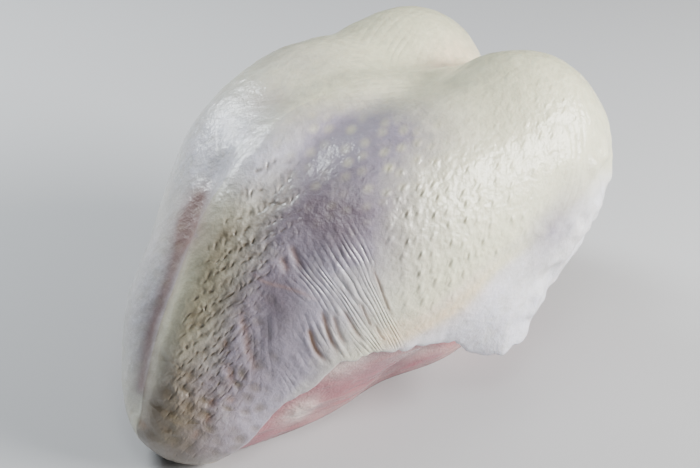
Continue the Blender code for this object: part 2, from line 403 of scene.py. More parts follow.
# Lines in the photograph, in its pixels.
CREST = ((112, 300), (145, 250), (200, 215), (260, 185), (335, 160), (415, 143), (460, 140))
FOLDS = (
    ((308, 328), (311, 336), (316, 350), (327, 362)),
    ((321, 310), (325, 322), (330, 338), (338, 354)),
    ((333, 314), (335, 322), (339, 334), (346, 346)),
    ((343, 308), (349, 320), (356, 332), (363, 342)),
)
FOLD_DEPTHS = (1.0, 0.75, 0.5, 0.45)
FOLD_WIDTH = 2.3
# Heights beside a fold and in a dent, as shares of the folds' depth.
RIDGE_SHARE = 0.476
DENT_SHARE = 0.714
DENT_WIDTH = 4.0
SIDE_CREASES = (
    ((371, 264), (379, 284), (386, 302), (393, 318)),
    ((374, 322), (380, 334), (388, 343)),
    ((359, 300), (366, 315), (374, 332)),
)
DENTS = (
    ((242, 308), (241, 320), (246, 334), (247, 348), (253, 364), (254, 380)),
    ((290, 244), (295, 256), (302, 272)),
    ((279, 255), (284, 264), (288, 274)),
    ((227, 362), (231, 376), (232, 388)),
    ((232, 396), (231, 404)),
    ((211, 398), (213, 408)),
    ((209, 413), (208, 424)),
    ((197, 430), (194, 441)),
    ((224, 338), (226, 350)),
    ((129, 412), (138, 421), (150, 429)),
)
VEIN = ((248, 268), (262, 281), (283, 287), (302, 293), (322, 303))
SCAR = ((186, 229), (192, 233), (199, 238))
BLUSH_LINE = ((199, 196), (190, 216), (175, 262), (162, 300), (150, 340), (142, 388))
FLAP_LINE = (
    (600, 150), (575, 190), (545, 230), (502, 262), (478, 285), (457, 305), (430, 322), (392, 338),
)
# A place on the straight line between flap and fat, and the direction across it.
FLAP_STARTS_AT = (392, 338)
ACROSS_FLAP = (0.62, 0.78)
FLAP_OUTLINE = ((606, 150), (600, 190), (578, 236), (552, 280), (534, 312))
FAR_CREASES = (((438, 62), (444, 74), (456, 82), (470, 84)), ((446, 50), (458, 66), (474, 74)))
FAR_CREASE_WIDTH = 3.4
FAR_CREASE_DEPTH = 0.9

# Soft patches of colour on the near side: how much, centre, radii and turn in degrees.
LILAC_PATCHES = (
    (1.0, (335, 215), (84, 78), 25), (1.0, (285, 325), (66, 84), 0), (0.9, (368, 138), (84, 36), -4),
    (1.0, (222, 408), (76, 64), 0), (0.6, (175, 442), (44, 24), 0), (0.8, (553, 232), (20, 56), 34),
)
# Deep lilac patches: partly the skin's own colour, partly painted shade on the flank and the tail that
# face away from the light.
DEEP_LILAC_AND_SHADE_PATCHES = (
    (0.8, (330, 202), (54, 36), 12), (0.3, (330, 246), (54, 26), 30), (0.55, (275, 300), (34, 40), 20),
    (0.5, (210, 404), (62, 58), 0), (0.8, (172, 438), (40, 28), 0),
)
# Pale patches: pale skin, and a painted highlight on the keel's top.
PALE_SKIN_AND_HIGHLIGHT_PATCHES = (
    (0.3, (348, 292), (46, 40), 50), (0.2, (272, 408), (50, 20), -35), (0.9, (256, 160), (44, 30), -30),
)
SPOT_PATCHES = ((1.7, (198, 412), (64, 58), 0), (0.4, (250, 330), (40, 50), 0))
FATTY_PATCHES = ((1.1, (372, 150), (84, 50), 10),)
OLIVE_PATCHES = ((0.8, (172, 430), (46, 44), 0),)
# Here the flap's pale skin gives way to lilac.
FLAP_GAP = (0.8, (553, 232), (22, 60), 34)
# Soft hollows beside the keel, in millimetres deep.
HOLLOWS = ((1.6, (262, 330), (16, 40), 8), (1.12, (300, 262), (14, 20), 60))
# Where the neck half's follicles are strongest.
LOBE_PATCHES = ((1.2, (455, 245), (92, 88), 0), (0.35, (560, 110), (60, 50), 0))
# Patches on the far side, and the blush on both sides of the keel.
FAR_LILAC_PATCHES = ((0.3, (300, 60), (50, 26), 0), (0.35, (150, 300), (60, 110), 0))
# Painted light: the far flank and its ridge are lighter where the light falls on them.
FAR_PAINTED_LIGHT_PATCHES = ((0.8, (165, 300), (60, 120), 20), (1.0, (220, 145), (64, 50), -50))
BLUSH_PATCHES = (
    (0.6, (190, 228), (22, 32), 25), (0.3, (270, 100), (26, 14), 0), (0.25, (207, 186), (8, 8), 0),
)

# Straight wrinkles on the near side: heading in degrees, spacing, and the patch that they cover.
STRAIGHT_WRINKLES = (
    (54, 6.5, (0.45, (300, 366), (36, 18), -38)),
    (84, 11.0, (0.5, (262, 345), (20, 50), 0)),
    (60, 7.5, (1.1, (330, 336), (26, 24), 60)),
    (-24, 6.5, (0.25, (495, 76), (46, 20), -20)),
    (-5, 4.5, (0.3, (395, 92), (84, 13), -6)),
    (-48, 8.0, (0.2, (520, 290), (50, 26), -48)),
)
FAR_STRAIGHT_WRINKLES = (
    (-62, 4.0, (0.1, (228, 128), (50, 60), -50)),
    (-74, 6.0, (0.16, (150, 290), (30, 110), 10)),
)
# Wrinkles in rings: the rings' centre, how much wider than tall they are, spacing and patch.
RING_WRINKLES = ((440, 150), 1.0, 6.5, (0.5, (582, 168), (24, 58), 0))
FAR_RING_WRINKLES = ((470, 72), 1.3, 9.0, (0.4, (398, 40), (40, 30), 0))
# Single creases: spacing of the crests beside them, reach and strength.
SIDE_CREASE_FORM = (9, 4.0, 1.7)

# Follicles along the keel lie in rows that fan out from a point, in pixels and in rows a degree.
ROWS_FOCUS = (609, 78)
ROWS_FIRST_ANGLE = 14.0
ROWS_PER_DEGREE = 0.22
ROWS_CROWDING = 0.0150
ROW_STEP = 9.0
ROWS_RIGHT_EDGE = ((140, 200, 260, 300, 350, 400, 440), (302, 292, 272, 246, 244, 238, 212))
# Those on the neck half lie in upright columns, closer together towards the neck.
LOBE_STEP = (19.0, 14.0)
LOBE_STEP_CHANGES_AT = (420, 25)
LOBE_ROW = 17.6
LOBE_LEAN = 0.21
# The wrinkles of the near side lean towards a point below the skin's edge.
FAN_FOCUS = (430, 420)
FAN_DEGREES = 1.8
FAN_MIDDLE = 58.0
FAN_REACH = 150.0
FAN_RIGHT_EDGE = ((200, 268, 316, 345), (352, 376, 394, 402))


def crest_distance(px):
    """How far right of the keel's crest a place lies."""
    heights, places = np.array(CREST, float).T
    return px[..., 0] - np.interp(px[..., 1], heights, places)


def beyond_flap_line(px):
    """How far a place lies on the flap's side of the line between flap and fat."""
    return (px - np.array(FLAP_STARTS_AT, float)) @ np.array(ACROSS_FLAP)


def row_places(px):
    """Follicle rows along the keel and over the tail: place in the rows, and how strong."""
    x, y = px[..., 0] - ROWS_FOCUS[0], px[..., 1] - ROWS_FOCUS[1]
    angle = np.degrees(np.arctan2(y, -x)) - ROWS_FIRST_ANGLE
    v = ROWS_PER_DEGREE * angle + ROWS_CROWDING * angle ** 2
    u = np.hypot(x, y) / ROW_STEP + 0.5 * v
    right = np.interp(px[..., 1], *ROWS_RIGHT_EDGE)
    strength = smooth(10, 28, crest_distance(px)) * smooth(30, -22, px[..., 0] - right)
    strength *= smooth(148, 172, px[..., 1])
    strength *= 1 - 0.65 * smooth(375, 440, px[..., 1])
    return np.stack((u, v, strength), axis=-1)


def lobe_places(px):
    """Follicles of the neck half: place in the columns, and how strong."""
    x, y = px[..., 0], px[..., 1]
    wide, close = LOBE_STEP
    middle, spread = LOBE_STEP_CHANGES_AT
    past = spread * np.log1p(np.exp(np.clip((x - middle) / spread, -30, 30)))
    u = x / wide + past * (1 / close - 1 / wide)
    v = (y + LOBE_LEAN * x) / LOBE_ROW
    strength = patches(px, LOBE_PATCHES) * smooth(18, -18, beyond_flap_line(px) - 6)
    strength *= smooth(-14, 40, x - 372 - 0.25 * (y - 240))
    return np.stack((u, v, np.clip(strength, 0, 1)), axis=-1)


def straight(px, heading, pitch, covered):
    a = math.radians(heading)
    along = px[..., 0] * math.cos(a) + px[..., 1] * math.sin(a)
    across = -px[..., 0] * math.sin(a) + px[..., 1] * math.cos(a)
    return np.stack((across / pitch, along / 30, patches(px, (covered,))), axis=-1)


def ringed(px, centre, stretch, pitch, covered):
    x, y = px[..., 0] - centre[0], (px[..., 1] - centre[1]) * stretch
    return np.stack((np.hypot(x, y) / pitch, np.arctan2(y, x) * 1.5, patches(px, (covered,))), axis=-1)


def fanned(px):
    x, y = FAN_FOCUS[0] - px[..., 0], FAN_FOCUS[1] - px[..., 1]
    r = np.maximum(np.hypot(x, y), 1)
    angle = np.degrees(np.arctan2(y, x))
    right = np.interp(px[..., 1], *FAN_RIGHT_EDGE)
    strength = smooth(6, -8, px[..., 0] - right) * smooth(228, 165, r) * smooth(66, 92, r)
    strength *= smooth(38, 50, angle)
    lines = (angle - FAN_MIDDLE) / FAN_DEGREES * (r / FAN_REACH) ** 0.4
    return np.stack((lines, r / 30, 0.9 * strength), axis=-1)


def along_path(px, path, pitch, reach, strength):
    """A single crease that follows a path: its valley lies on the path itself."""
    line = curve_through(path)
    distance, run = path_distance(px, line)
    ahead = line[-1] - line[0]
    ahead = ahead / np.linalg.norm(ahead)
    nearest = np.stack((np.interp(run, np.linspace(0, 1, len(line)), line[:, 0]),
                        np.interp(run, np.linspace(0, 1, len(line)), line[:, 1])), axis=-1)
    offset = px - nearest
    side = np.sign(offset[..., 0] * ahead[1] - offset[..., 1] * ahead[0])
    taper = np.clip(np.minimum(run, 1 - run) * 4, 0, 1)
    held = np.exp(-(distance / reach) ** 2) * (0.15 + 0.85 * taper)
    return np.stack((side * distance / pitch, run * 0.2, strength * held), axis=-1)


def strongest(lays):
    """Keeps the strongest of several wrinkle fields, faded out where two meet."""
    stack = np.stack(lays)
    order = np.argsort(stack[..., 2], axis=0)
    best = np.take_along_axis(stack, order[-1:, ..., None], axis=0)[0].copy()
    second = np.take_along_axis(stack[..., 2], order[-2:-1], axis=0)[0]
    best[..., 2] -= second
    return best


def near_wrinkles(px):
    """Wrinkles of the near side: number of the crest, run along it, and strength."""
    return strongest((
        fanned(px),
        ringed(px, *RING_WRINKLES),
        *(straight(px, *field) for field in STRAIGHT_WRINKLES),
        *(along_path(px, path, *SIDE_CREASE_FORM) for path in SIDE_CREASES),
    ))


def far_wrinkles(px):
    """The same for the far side, where the photograph shows it."""
    return strongest((
        ringed(px, *FAR_RING_WRINKLES),
        *(straight(px, *field) for field in FAR_STRAIGHT_WRINKLES),
    ))


def near_relief(px, size):
    """Height in millimetres of the near side's folds and dents, by place in the photograph."""
    height = np.zeros(px.shape[:-1])
    for path, depth in zip(FOLDS, FOLD_DEPTHS):
        groove, distance = crease(px, path, FOLD_WIDTH)
        ridge = RIDGE_SHARE * np.exp(-((distance - 5) / 3) ** 2) * patch(px, path[2], (20, 20))
        height += size["fold"] * depth * (ridge - groove)
    for path in DENTS:
        height -= size["fold"] * DENT_SHARE * crease(px, path, DENT_WIDTH)[0]
    return height - patches(px, HOLLOWS)


def far_relief(px):
    """Height of what shows on the far side alone."""
    return -FAR_CREASE_DEPTH * sum(crease(px, path, FAR_CREASE_WIDTH)[0] for path in FAR_CREASES)


def near_tints(px):
    """How much of each colour the near side's skin has, by place in the photograph."""
    flap, where = path_distance(px, curve_through(FLAP_LINE))
    thin = smooth(-4, 20, beyond_flap_line(px)) * smooth(0, 12, flap) * (1 - patches(px, (FLAP_GAP,)))
    # A brown tint along the folds, dents and side creases, darkest where they are deepest: partly
    # painted shade.
    stain = np.zeros(px.shape[:-1])
    for path in DENTS:
        stain = np.maximum(stain, 0.4 * crease(px, path, 3.0)[0])
    for path, depth in zip(FOLDS, FOLD_DEPTHS):
        stain = np.maximum(stain, depth * crease(px, path, 2.0)[0])
    for path in SIDE_CREASES:
        stain = np.maximum(stain, 0.45 * crease(px, path, 2.0)[0])
    keel_side = row_places(px)[..., 2] * smooth(80, 20, crest_distance(px))
    keel_side *= np.interp(px[..., 1], (150, 240, 330, 430), (0.35, 0.7, 0.9, 0.1))
    return {
        "lilac": np.clip(patches(px, LILAC_PATCHES), 0, 1),
        "deep": np.clip(patches(px, DEEP_LILAC_AND_SHADE_PATCHES), 0, 1),
        "white": np.clip(thin + patches(px, PALE_SKIN_AND_HIGHLIGHT_PATCHES), 0, 1),
        "peach": 0.7 * np.exp(-(flap / 12) ** 2) * smooth(0.3, 0.75, where),
        "blush": 0.6 * crease(px, VEIN, 1.7)[0],
        "stain": stain,
        "fatty": np.clip(patches(px, FATTY_PATCHES), 0, 1),
        "olive": np.clip(keel_side + patches(px, OLIVE_PATCHES), 0, 1),
        "spots": np.clip(patches(px, SPOT_PATCHES), 0, 1),
    }


def far_tints(px):
    """The same for the far side, where the photograph shows it."""
    nothing = np.zeros(px.shape[:-1])
    return {
        **{name: nothing for name in SKIN_WEIGHTS},
        "lilac": np.clip(patches(px, FAR_LILAC_PATCHES), 0, 1),
        "white": np.clip(patches(px, FAR_PAINTED_LIGHT_PATCHES), 0, 1),
        "peach": 0.6 * patch(px, (458, 58), (30, 20)),
        "blush": 0.5 * patch(px, (446, 70), (24, 9), 20),
        "fatty": 0.15 + nothing,
    }


def mirrored(points):
    return points * np.array((1, -1, 1))


def facing_photo(points, normals):
    """How squarely the surface faces the photograph's camera, from -1 to 1."""
    towards = CAMERA_AT - points
    towards /= np.linalg.norm(towards, axis=-1, keepdims=True)
    return (towards * normals).sum(axis=-1)


# Height and size of the lumps, and the seed of their noise.
LUMPS = ((0.7, 26, 11), (0.35, 11, 12), (0.14, 4.6, 13), (0.07, 2.3, 14))
# The flap's edge waves in and out by this much, over this far in the photograph's pixels.
FLAP_EDGE_WAVES = 3.4
FLAP_EDGE_REACH = 12
# The far side takes its own finish in place of the near side's between these facings.
FAR_SIDE_SHOWS = (-0.2, -0.05)
# The neck half's follicles are fainter there.
FAR_LOBE_SHARE = 0.25


def lumps(points):
    """Soft unevenness all over, in millimetres."""
    return sum(height * noise(points, size, seed) for height, size, seed in LUMPS)


def skin_fields(points, normals, size):
    """Height of the larger fine forms, colour weights and follicle and wrinkle places of the skin."""
    # What the photograph doesn't show of the far side mirrors the near side. Both fade where they meet.
    far = points[..., 1] > 0
    facing = facing_photo(points, normals)
    shown = np.where(far, smooth(*FAR_SIDE_SHOWS, facing), 1.0)
    own = far & (shown > 0.5)
    split = np.where(far, np.abs(2 * shown - 1), 1.0)
    true_px = photo_px(points)
    near_px = photo_px(np.where(far[..., None], mirrored(points), points))
    px = np.where(own[..., None], true_px, near_px)
    height = np.where(own, far_relief(px), near_relief(px, size)) * split + lumps(points)

    outline = path_distance(near_px, curve_through(FLAP_OUTLINE))[0]
    height += FLAP_EDGE_WAVES * np.exp(-(outline / FLAP_EDGE_REACH) ** 2) * noise(points, 8, 15)

    tint = near_tints(px)
    for name, values in far_tints(px).items():
        tint[name] = np.where(own, values, tint[name])
    line, run = path_distance(true_px, curve_through(BLUSH_LINE))
    band = np.exp(-(line / (11 - 5 * run)) ** 2) * (0.85 - 0.2 * run) + patches(true_px, BLUSH_PATCHES)
    tint["blush"] = np.clip(tint["blush"] + band * shown, 0, 1)
    # Painted shade: the lower part of the groove beside the keel is darkened with deep lilac.
    groove_shade = 0.55 * np.exp(-(line / 6) ** 2) * smooth(0.3, 0.65, run)
    tint["deep"] = np.clip(tint["deep"] + groove_shade * shown, 0, 1)
    tint["white"] = np.maximum(tint["white"], crease(true_px, SCAR, 1.3)[0] * shown)
    tail_rim = smooth(8, 2, points[..., 2]) * smooth(90, 30, points[..., 0])
    tail_rim *= smooth(165, 215, near_px[..., 0])
    tint["peach"] = np.maximum(tint["peach"], 0.8 * tail_rim)

    places = {"rows": row_places(px), "lobe": lobe_places(px),
              "lay": np.where(own[..., None], far_wrinkles(px), near_wrinkles(px))}
    places["rows"][..., 2] *= split
    places["lobe"][..., 2] *= np.where(own, FAR_LOBE_SHARE, split)
    places["lay"][..., 2] *= split
    return height, tint, places


class Surface:
    """Collects rings of points, with named weights and places, and the faces between them."""

    def __init__(self, weights, places=()):
        self.points = []
        self.faces = []
        self.values = {name: [] for name in (*weights, *places)}
        self.sizes = {**{name: 1 for name in weights}, **{name: 3 for name in places}}

    def ring(self, points, values=None):
        first = len(self.points)
        self.points.extend(map(tuple, points))
        for name, size in self.sizes.items():
            given = values[name] if values and name in values else np.zeros((len(points), size))
            self.values[name].append(np.reshape(given, (len(points), size)))
        return list(range(first, first + len(points)))

    def cap(self, tip, ring):
        for i, here in enumerate(ring):
            self.faces.append((tip, here, ring[(i + 1) % len(ring)]))

    def join(self, upper, lower):
        """Joins two rings, the lower one with as many points as the upper one or twice as many."""
        n = len(upper)
        for i in range(n):
            k = (i + 1) % n
            if len(lower) == n:
                self.faces.append((upper[i], lower[i], lower[k], upper[k]))
                continue
            left, middle, right = lower[2 * i], lower[2 * i + 1], lower[(2 * i + 2) % (2 * n)]
            self.faces.append((upper[i], left, middle))
            self.faces.append((upper[i], middle, upper[k]))
            self.faces.append((upper[k], middle, right))

    def flip_from(self, first_face):
        self.faces[first_face:] = [face[::-1] for face in self.faces[first_face:]]

    def to_object(self, name, shift):
        mesh = bpy.data.meshes.new(name)
        mesh.from_pydata([tuple((np.array(p) + shift) * MM) for p in self.points], [], self.faces)
        mesh.update()
        for value, size in self.sizes.items():
            layer = mesh.attributes.new(value, "FLOAT" if size == 1 else "FLOAT_VECTOR", "POINT")
            numbers = np.concatenate(self.values[value]).astype(np.float32).ravel()
            layer.data.foreach_set("value" if size == 1 else "vector", numbers)
        mesh.shade_smooth()
        obj = bpy.data.objects.new(name, mesh)
        bpy.context.scene.collection.objects.link(obj)
        return obj


SKIN_WEIGHTS = ("lilac", "deep", "white", "peach", "blush", "stain", "fatty", "olive", "spots")
SKIN_PLACES = ("rows", "lobe", "lay")
EDGE_NOTCH = 1.2
EDGE_TURN_IN = 0.7
# Away from its edge the shell is this much thicker than at the rim.
SHELL_THICKER = 4.0
# Its outer and inner surfaces stay this high above the floor.
OUTER_CLEARANCE = 0.2
INNER_CLEARANCE = 0.6


def crowded_bearings(count):
    """Bearings all round, closer together on the near side."""
    even = np.linspace(-math.pi, math.pi, count, endpoint=False)
    crowded = even - NEAR_CROWDING * (np.cos(even) + 1)
    return (crowded + math.pi) % (2 * math.pi) - math.pi


def make_skin_surface(form, sizes):
    """The skin as a closed shell: a fine outer surface, the rim and a coarse inner surface."""
    bearing = crowded_bearings(SKIN_COLUMNS)
    height, hang = edge_at(bearing)
    around_edge = np.stack((bearing * 80, 0 * bearing), -1)
    notches = noise(around_edge, 5.0, 21) + 0.6 * noise(around_edge, 2.4, 22)
    notches *= smooth(168, 138, np.abs(np.degrees(bearing)))
    height = height + EDGE_NOTCH * notches * np.clip(height / 30, 0, 1) * (1 + 0.5 * hang)
    profiles = [form.profile(b) for b in bearing]
    angle = np.array([even_angles(profile, angle_at_height(profile, edge), SKIN_ROWS)
                      for profile, edge in zip(profiles, height)])
    column = np.repeat(bearing[:, None], SKIN_ROWS, axis=1)
    body = at(column, angle, form.at(column, angle))
    plain = body + loosening(body, profiles, hang)
    crown = CENTRE + (0, 0, form.at(np.zeros(1), np.zeros(1))[0])
    normals = grid_normals(plain, crown)
    relief, tint, places = skin_fields(plain, normals, sizes)

    # The edge turns in and thins, and the relief fades out where the skin meets the floor.
    rows_up = np.arange(SKIN_ROWS, 0, -1)[None, :] - 1
    relief = relief * smooth(2, 8, plain[..., 2]) - EDGE_TURN_IN * np.exp(-rows_up / 1.5)
    outer = plain + normals * relief[..., None]
    outer[..., 2] = np.maximum(outer[..., 2], OUTER_CLEARANCE)
    for name in places:
        places[name][..., 2] *= smooth(0, 6, rows_up)
    pale_edge = 0.5 * np.exp(-rows_up / 1.2) * smooth(4, 12, plain[..., 2])
    tint["white"] = np.maximum(tint["white"], pale_edge)

    # The inner surface lies well below the outer one, and close behind it near the edge.
    near_edge = np.exp(-rows_up / 14)
    loose = hang[:, None] * smooth(110, 30, plain[..., 2])
    depth = sizes["rim"] + SHELL_THICKER * (1 - near_edge) * (1 - loose)
    inner = plain + normals * (relief * near_edge - depth)[..., None]
    inner[..., 2] = np.maximum(inner[..., 2], INNER_CLEARANCE)

    skin = Surface(SKIN_WEIGHTS, SKIN_PLACES)
    fields = {**tint, **places}
    rings = []
    for j in range(SKIN_ROWS):
        step = 4 if j < SKIN_FINER_AT[0] else 2 if j < SKIN_FINER_AT[1] else 1
        values = {name: field[::step, j] for name, field in fields.items()}
        rings.append(skin.ring(outer[::step, j], values))
    top = crown + (0, 0, float(relief[:, 0].mean()))
    skin.cap(skin.ring(top[None], {"fatty": 0.2})[0], rings[0])
    for upper, lower in zip(rings, rings[1:]):
        skin.join(upper, lower)
    first = len(skin.faces)
    inner_rows = [*range(7, SKIN_ROWS - 12, 8), *range(SKIN_ROWS - 10, SKIN_ROWS, 3)]
    inner_rings = []
    for j in inner_rows:
        values = {name: tint[name][::2, j] for name in ("white", "peach")}
        inner_rings.append(skin.ring(inner[::2, j], values))
    skin.cap(skin.ring(crown[None] - (0, 0, sizes["rim"] + SHELL_THICKER))[0], inner_rings[0])
    for upper, lower in zip(inner_rings, inner_rings[1:]):
        skin.join(upper, lower)
    skin.join(inner_rings[-1], rings[-1])
    skin.flip_from(first)
    return skin


# Node trees.

class Nodes:
    """Short calls for adding nodes to a tree and linking them."""

    def __init__(self, tree):
        self.tree = tree

    def feed(self, socket, value):
        if isinstance(value, bpy.types.NodeSocket):
            self.tree.links.new(value, socket)
        else:
            socket.default_value = value

    def add(self, kind, inputs=(), **settings):
        node = self.tree.nodes.new(kind)
        for key, value in settings.items():
            setattr(node, key, value)
        for key, value in dict(inputs).items():
            self.feed(node.inputs[key], value)
        return node

    def math(self, operation, *values, clamp=False):
        return self.add("ShaderNodeMath", enumerate(values), operation=operation,
                        use_clamp=clamp).outputs[0]

    def times(self, first, second, clamp=False):
        return self.math("MULTIPLY", first, second, clamp=clamp)

    def plus(self, first, second, clamp=False):
        return self.math("ADD", first, second, clamp=clamp)

    def minus(self, first, second, clamp=False):
        return self.math("SUBTRACT", first, second, clamp=clamp)

    def vector(self, operation, *values, out=0):
        return self.add("ShaderNodeVectorMath", enumerate(values), operation=operation).outputs[out]

    def scaled(self, vector, factor):
        inputs = {0: vector, "Scale": factor}
        return self.add("ShaderNodeVectorMath", inputs, operation="SCALE").outputs[0]

    def axis(self, vector, index):
        return self.add("ShaderNodeSeparateXYZ", {0: vector}).outputs[index]

    def ramp(self, value, low, high, to_low=0.0, to_high=1.0, kind="LINEAR"):
        inputs = {"Value": value, "From Min": low, "From Max": high, "To Min": to_low,
                  "To Max": to_high}
        return self.add("ShaderNodeMapRange", inputs, interpolation_type=kind).outputs["Result"]


def cells(n, place, looseness):
    """The nearest point of a loose lattice: the offset from it, in cells, and its own random number."""
    lattice = n.add("ShaderNodeTexVoronoi", {"Vector": place, "Scale": 1.0, "Randomness": looseness},
                    voronoi_dimensions="2D")
    offset = n.vector("SUBTRACT", place, lattice.outputs["Position"])
    return n.vector("MULTIPLY", offset, (1, 1, 0)), n.axis(lattice.outputs["Color"], 0)


def turned(n, place, degrees):
    inputs = {"Vector": place, "Angle": -math.radians(degrees)}
    return n.add("ShaderNodeVectorRotate", inputs, rotation_type="Z_AXIS").outputs[0]


def oval(n, offset, centre, radii, turn=0.0):
    """1 at the centre of an oval, falling to 0 at its outline. turn is in degrees."""
    place = turned(n, n.vector("SUBTRACT", offset, (*centre, 0)), turn)
    away = n.vector("LENGTH", n.vector("DIVIDE", place, (*radii, 1)), out="Value")
    return n.ramp(away, 1.0, 0.0, kind="SMOOTHSTEP")


def flat_noise(n, place, stretch, detail=1.0):
    place = n.vector("MULTIPLY", place, (*stretch, 0))
    return n.add("ShaderNodeTexNoise", {"Vector": place, "Scale": 1.0, "Detail": detail},
                 noise_dimensions="2D").outputs["Fac"]


def coloured_noise(n, place, scale):
    return n.add("ShaderNodeTexNoise", {"Vector": place, "Scale": scale, "Detail": 1.0},
                 noise_dimensions="2D").outputs["Color"]


def row_forms(n, rows, bump, pit):
    """Follicles in rows along the keel: slits with knobs beside them, on low ridges, with painted shade
    in the slits and between the ridges.
    """
    strength = n.axis(rows, 2)
    strand = flat_noise(n, turned(n, rows, 12), (0.5, 1.9))
    wander = n.vector("SUBTRACT", coloured_noise(n, rows, 0.4), (0.5, 0.5, 0.5))
    rows = n.vector("ADD", rows, n.vector("MULTIPLY", wander, (1.2, 0.7, 0)))
    offset, chance = cells(n, rows, 0.34)
    slit = oval(n, offset, (0, 0), (0.58, 0.15), 12)
    knob = oval(n, offset, (0.12, -0.2), (0.6, 0.24), 14)
    ridge = n.math("COSINE", n.times(n.axis(rows, 1), 2 * math.pi))
    blotch = flat_noise(n, rows, (0.5, 0.6), 2.0)
    swell = n.minus(n.times(knob, 0.3), n.times(ridge, 0.12))
    swell = n.plus(swell, n.ramp(strand, 0.3, 0.7, -0.15, 0.15))
    hole = n.times(slit, n.times(pit, n.ramp(chance, 0, 1, 0.4, 1.0)))
    strong = n.times(strength, n.ramp(blotch, 0.3, 0.7, 0.4, 1.1))
    height = n.times(strong, n.minus(n.times(swell, bump), hole))
    # Painted shade: darker in the valleys between the rows, in the slits and along the low strands.
    dark = n.times(n.plus(ridge, 1.0), n.ramp(blotch, 0.3, 0.7, 0.06, 0.22))
    dark = n.plus(dark, n.times(slit, n.ramp(chance, 0, 1, 0.25, 0.75)))
    dark = n.plus(dark, n.ramp(strand, 0.5, 0.3, 0.0, 0.25))
    return height, n.times(strength, dark), rows


def lobe_forms(n, lobe, bump, pit):
    """Follicles of the neck half: holes with a lip and fat round them, in pebbled skin, with painted
    shade in the holes.
    """
    strength = n.axis(lobe, 2)
    offset, chance = cells(n, lobe, 0.62)
    pebble, _ = cells(n, n.scaled(lobe, 2.3), 0.9)
    pebbles = n.times(n.times(strength, oval(n, pebble, (0, 0), (0.55, 0.55))), n.times(bump, 0.16))
    strong = n.times(strength, n.ramp(chance, 0, 1, 0.45, 1.15))
    hill = oval(n, offset, (0.1, -0.1), (0.5, 0.75))
    lip = oval(n, offset, (0.13, 0.06), (0.36, 0.24), -50)
    hole = oval(n, offset, (-0.03, 0), (0.28, 0.16), -57)
    height = n.plus(n.times(hill, n.times(bump, 0.22)), n.times(lip, n.times(pit, 0.7)))
    height = n.minus(height, n.times(hole, n.times(pit, 0.33)))
    fat = n.times(oval(n, offset, (0, 0), (0.46, 0.42)), n.ramp(chance, 0, 1, 0.3, 1.1))
    return n.plus(pebbles, n.times(strong, height)), n.times(strong, n.times(hole, 0.17)), fat


def wrinkle_forms(n, lay, wrinkle):
    """Wrinkles: crests that sway and break off, with painted shade in their furrows."""
    strength = n.axis(lay, 2)
    sway = n.times(n.minus(flat_noise(n, lay, (0.22, 0.45)), 0.5), 2.4)
    phase = n.times(n.plus(n.axis(lay, 0), sway), math.pi)
    crest = n.math("POWER", n.math("ABSOLUTE", n.math("SINE", phase)), 0.8)
    patchy = n.ramp(flat_noise(n, lay, (0.5, 1.2)), 0.34, 0.62, 0.2, 1.0)
    height = n.times(n.times(n.times(strength, patchy), wrinkle), n.minus(crest, 0.6))
    furrow = n.math("POWER", n.minus(1.0, crest, clamp=True), 2.2)
    return height, n.times(furrow, n.times(strength, 0.14))


def fine_forms(n, read, bump, pit, wrinkle):
    """Height of follicles and wrinkles in metres, how dark (painted shade in slits, holes and furrows,
    and the tail's own mottles) and how fatty each place is.
    """
    row_height, row_shade, rows = row_forms(n, read("rows"), bump, pit)
    lobe_height, lobe_shade, fat = lobe_forms(n, read("lobe"), bump, pit)
    wrinkle_height, wrinkle_shade = wrinkle_forms(n, read("lay"), wrinkle)
    height = n.plus(n.plus(row_height, lobe_height), wrinkle_height)
    dark = n.plus(n.plus(row_shade, lobe_shade, clamp=True), wrinkle_shade)
    offset, chance = cells(n, n.vector("MULTIPLY", rows, (0.6, 0.55, 0)), 0.9)
    spot = n.times(oval(n, offset, (0, 0), (0.85, 0.5), 50), n.ramp(chance, 0, 1, 0.25, 1.0))
    spots = n.times(read("spots", 1), spot)
    height = n.minus(height, n.times(n.times(spots, pit), 0.8))
    return height, n.math("MAXIMUM", dark, spots), n.times(read("fatty", 1), fat)


# How much of the fine forms' height the mesh shows, and how much the skin's shading shows.
MESH_SHARE = 0.55
BUMP_SHARE = 0.8


def fine_form_tree(material):
    """Raises the skin by its follicles and wrinkles, as far as the mesh can show them."""
    tree = bpy.data.node_groups.new("Fine forms", "GeometryNodeTree")
    tree.interface.new_socket("Skin", in_out="OUTPUT", socket_type="NodeSocketGeometry")
    tree.interface.new_socket("Skin", in_out="INPUT", socket_type="NodeSocketGeometry")
    inputs = {}
    for name in ("Bump height", "Pit depth", "Wrinkle height"):
        socket = tree.interface.new_socket(name, in_out="INPUT", socket_type="NodeSocketFloat")
        inputs[name] = socket.identifier
    n = Nodes(tree)
    start = n.add("NodeGroupInput")

    def read(name, size=3):
        kind = "FLOAT_VECTOR" if size == 3 else "FLOAT"
        node = n.add("GeometryNodeInputNamedAttribute", {"Name": name}, data_type=kind)
        return node.outputs["Attribute"]

    height, _, _ = fine_forms(n, read, *(start.outputs[name] for name in inputs))
    normal = n.add("GeometryNodeInputNormal").outputs[0]
    move = {"Geometry": start.outputs["Skin"], "Offset": n.scaled(normal, n.times(height, MESH_SHARE))}
    skin = n.add("GeometryNodeSetPosition", move).outputs[0]
    skin = n.add("GeometryNodeRealizeInstances", {"Geometry": skin}).outputs[0]
    skin = n.add("GeometryNodeSetMaterial", {"Geometry": skin, "Material": material}).outputs[0]
    tree.links.new(skin, n.add("NodeGroupOutput").inputs["Skin"])
    return tree, inputs


